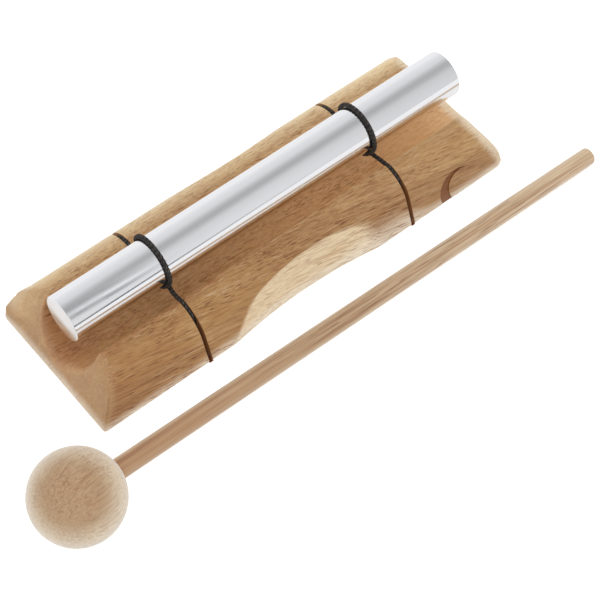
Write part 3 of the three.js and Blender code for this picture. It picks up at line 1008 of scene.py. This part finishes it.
def strand_path(line, frames, start, end, way, strand):
    """One strand of the braid, which winds round the line and weaves out and in."""
    path = []
    for i in range(start, end + 1):
        turned = 2 * math.pi * CORD_STEP * i / BRAID_PITCH
        angle = way * turned + 2 * math.pi * strand / STRANDS_EACH_WAY
        out = STRAND_REACH + STRAND_WEAVE * way * math.cos(STRANDS_EACH_WAY * turned)
        side, up = frames[i]
        offset = side * math.cos(angle) * out + up * math.sin(angle) * out
        offset.x *= width_share(line[i])
        path.append(line[i] + offset)
    return path


def braided(line, start, end, name):
    """Eight strands braided over and under each other, for one stretch of the line."""
    frames = carried(line)
    parts = [tubes([line[start:end + 1]], CORE_RADIUS, name + "_core")]
    for way in (1, -1):
        paths = [strand_path(line, frames, start, end, way, strand)
                 for strand in range(STRANDS_EACH_WAY)]
        parts.append(tubes(paths, STRAND_RADIUS, name + "_strands"))
    # One way's strands take the second finish, the black cord painted lighter as sheen.
    for slot, part in enumerate(parts):
        dress(part, *CORD_FINISHES)
        part.data.polygons.foreach_set("material_index", [slot % 2] * len(part.data.polygons))
    bpy.ops.object.select_all(action="DESELECT")
    for part in parts:
        part.select_set(True)
    piece = bpy.context.view_layer.objects.active = parts[-1]
    bpy.ops.object.join()
    piece.name = piece.data.name = name
    alone(piece)
    bpy.ops.object.shade_smooth()
    return piece


def sling_cords():
    """Both cords, each in three stretches: up the front, round the bar and down the rear."""
    for hand, x in (("left", -KERF_X), ("right", KERF_X)):
        line = evenly(cord_line(LOOP_SHIFT[hand]), CORD_STEP)
        line = [point + Vector((x, 0, 0)) for point in line]
        ease_over_rim(line)
        under_bar = [i for i, point in enumerate(line)
                     if abs(point.y) < 0.15 * MM and 10 * MM < point.z < BAR_HEIGHT - 5 * MM]
        first, last = under_bar[0], under_bar[-1]
        stretches = (
            ("front", 0, first, -1),
            ("loop", first, last, 0),
            ("rear", last, len(line) - 1, 1),
        )
        for part, start, end, way in stretches:
            cord = braided(line, start, end, f"cord_{hand}_{part}")
            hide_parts(f"cord_{hand}")
            if way == 0:
                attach(cord, "sling")
                continue
            held = (0, way * HELD_PLACE[0], HELD_PLACE[1])
            free = (0, way * FREE_PLACE[0], FREE_PLACE[1])
            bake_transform(cord)
        whipping(x, hand)


def whipping(x, hand):
    """A thin thread that lashes a cord's two ends together in the pocket."""
    path = []
    steps = 26
    z = GROOVE_DEPTH - CORD_RADIUS - CORD_GAP - WHIPPING_DROP
    for step in range(WHIPPING_TURNS * steps + 1):
        angle = 2 * math.pi * step / steps
        across, up = math.cos(angle), math.sin(angle)
        y = (step / (WHIPPING_TURNS * steps) - 0.5) * WHIPPING_LENGTH
        spread = math.copysign(TIED_SPREAD, across) * min(abs(across) * 3, 1)
        path.append(Vector((x + spread + THREAD_REACH * across, y, z + THREAD_REACH * up)))
    thread = tubes([path], THREAD_RADIUS, f"whipping_{hand}", 1)
    alone(thread)
    bpy.ops.object.shade_smooth()
    dress(thread, CORD_FINISHES[0])
    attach(thread, "base")


def on_mallet(piece, name):
    """Takes a piece made along X round the ball's centre to where the mallet lies."""
    piece.matrix_world = (
        Matrix.Translation(BALL_PLACE)
        @ Matrix.Rotation(MALLET_TURN, 4, "Z")
        @ Matrix.Rotation(MALLET_DIP, 4, "Y")
    )
    return settle(piece, name)


def mallet_ball():
    bpy.ops.object.select_all(action="DESELECT")
    bpy.ops.mesh.primitive_uv_sphere_add(
        segments=96, ring_count=64, radius=BALL_RADIUS, rotation=(0, math.pi / 2, 0))
    ball = settle(bpy.context.object, "ball")
    bore = STICK_RADIUS + BORE_ROOM
    cut(ball, rod(64, bore, BORE_LENGTH, (BORE_MIDDLE, 0, 0), "bore cutter"))
    ball = on_mallet(ball, "mallet_ball")
    smooth_shaded(ball)
    finish = mallet_wood("turned ball wood", BALL_GRAIN_SHIFT, BALL_GRAIN_TURN, *BALL_TONES)
    dress(ball, finish)
    return ball


def mallet_handle():
    middle = ((STICK_END + STICK_START) / 2, 0, 0)
    stick = rod(72, STICK_RADIUS, STICK_END - STICK_START, middle, "stick")
    pick(stick, faces=lambda face: face.normal.x > 0.9)
    share = TIP_RADIUS / STICK_RADIUS
    bpy.ops.transform.resize(value=(1, share, share), center_override=(STICK_END, 0, 0))
    leave()
    pick(stick, edges=lambda a, b: min(a.x, b.x) > STICK_END - 0.1 * MM)
    bpy.ops.mesh.bevel(offset=TIP_EDGE, segments=6, profile=0.5, affect="EDGES")
    leave()
    stick = on_mallet(stick, "mallet_handle")
    smooth_shaded(stick)
    dress(stick, mallet_wood("handle wood", STICK_GRAIN_SHIFT, 0, *STICK_TONES))
    return stick


def mallet():
    ball = mallet_ball()
    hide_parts("mallet_head")
    stick = mallet_handle()
    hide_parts("mallet_stick")
    for piece in (ball, stick):
        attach(piece, "mallet")


def table():
    """A white table that glows to the camera, except under the base and the kerfs in it; in the
    kerfs' slots it is painted brown shade.
    """
    bpy.ops.object.select_all(action="DESELECT")
    bpy.ops.mesh.primitive_plane_add(size=TABLE_SIZE, location=(0, 0, -TABLE_DROP))
    floor = settle(bpy.context.object, "table")
    finish = new_finish("white table")
    seen = finish.add("ShaderNodeLightPath", output="Is Camera Ray")
    mirrored = finish.add("ShaderNodeLightPath", output="Is Glossy Ray")
    x, y, _ = finish.parts(finish.place())
    covered = (abs(x) < COVERED_X) * (abs(y) < COVERED_Y)
    slots = (abs(abs(x) - KERF_X) < KERF_WIDTH / 2) * (abs(y) < HALF_WIDTH)
    # Painted shade in the slots, standing for shadow and light bounced off the sawn walls.
    shade = finish.mixed(slots, TABLE_WHITE, SLOT_SHADE_BROWN)
    glowing = (seen * 0.5 + mirrored * 0.06) * ((1 - covered) * (1 - slots))
    finish.shader(Base_Color=shade, Roughness=1.0, Specular_IOR_Level=0.0,
                  Emission_Color=finish.mixed(glowing, BLACK, WHITE), Emission_Strength=1.0)
    dress(floor, finish.owner)


def studio():
    """A white room that is darker overhead; the camera sees it plain white."""
    world = bpy.data.worlds.new("studio")
    bpy.context.scene.world = world
    finish = Finish(world)
    direction = finish.add("ShaderNodeTexCoord", output="Generated")
    x, y, z = finish.parts(direction)
    tilt = finish.maths("ARCTAN2", 0 - y, z)
    # How bright the room is, by the tilt from overhead towards the front, in degrees.
    tones = (
        (-180, 0.97), (-96, 0.99), (-75, 0.92), (-58, 0.82), (-44, 0.78), (-30, 0.73),
        (-17, 0.58), (-5, 0.47), (7, 0.47), (18, 0.58), (30, 0.7), (52, 0.76), (77, 0.8),
        (90, 0.78), (104, 0.95), (180, 0.95),
    )
    stops = [(angle / 360 + 0.5, tone) for angle, tone in tones]
    dome = finish.add("ShaderNodeValToRGB", {"stops": stops}, {"Fac": tilt / (2 * math.pi) + 0.5})
    degrees = tilt * (180 / math.pi)

    def band(centre, width, reading):
        return finish.between(abs(reading - centre), width, width * 0.3)

    # Three streaks lean across the left end; the right end is a little duller.
    leaning = degrees - (x - 0.25) * 400
    streaks = band(31, 5, leaning) * 0.28 - band(47, 10, leaning) * 0.5
    streaks = streaks - band(15, 12, leaning) * 0.2
    dome = dome + streaks * finish.between(x, 0.31, 0.26)
    dome = dome * (1 - (degrees > 12) * finish.between(x, 0.36, 0.46, 0, 0.1))

    # A dark gap in front, level with the table, draws a line along the bar.
    gap = band(87.5, 4.6, degrees) * finish.between(x, 0.4, 0.26)
    dome = finish.mixed(gap, dome, ROOM_GAP)
    mirrored = finish.add("ShaderNodeLightPath", output="Is Glossy Ray")
    dome = finish.mixed(mirrored, ROOM_WHITE, dome)
    seen = finish.add("ShaderNodeLightPath", output="Is Camera Ray")
    tone = finish.mixed(seen, dome, WHITE)
    finish.end(finish.add("ShaderNodeBackground", values={"Color": tone, "Strength": 1.0}))

    bpy.ops.object.light_add(type="AREA", location=KEY_PLACE)
    key = bpy.context.object
    key.data.size = KEY_SIZE
    key.data.energy = KEY_POWER
    key.rotation_mode = "QUATERNION"
    key.rotation_quaternion = key.location.to_track_quat("Z", "Y")
    key.visible_glossy = False


# The second finish is the black cord painted lighter, as sheen on one way's strands.
CORD_FINISHES = (
    cord_fibre("black cord strands", colour(16, 15, 15), colour(40, 37, 35)),
    cord_fibre("cord strands with painted sheen", colour(30, 28, 27), colour(94, 88, 82)),
)

place_camera()
table()
studio()
sling_cords()
wooden_base()
sounding_bar()
mallet()

view = bpy.context.scene.view_settings
view.view_transform = "Standard"
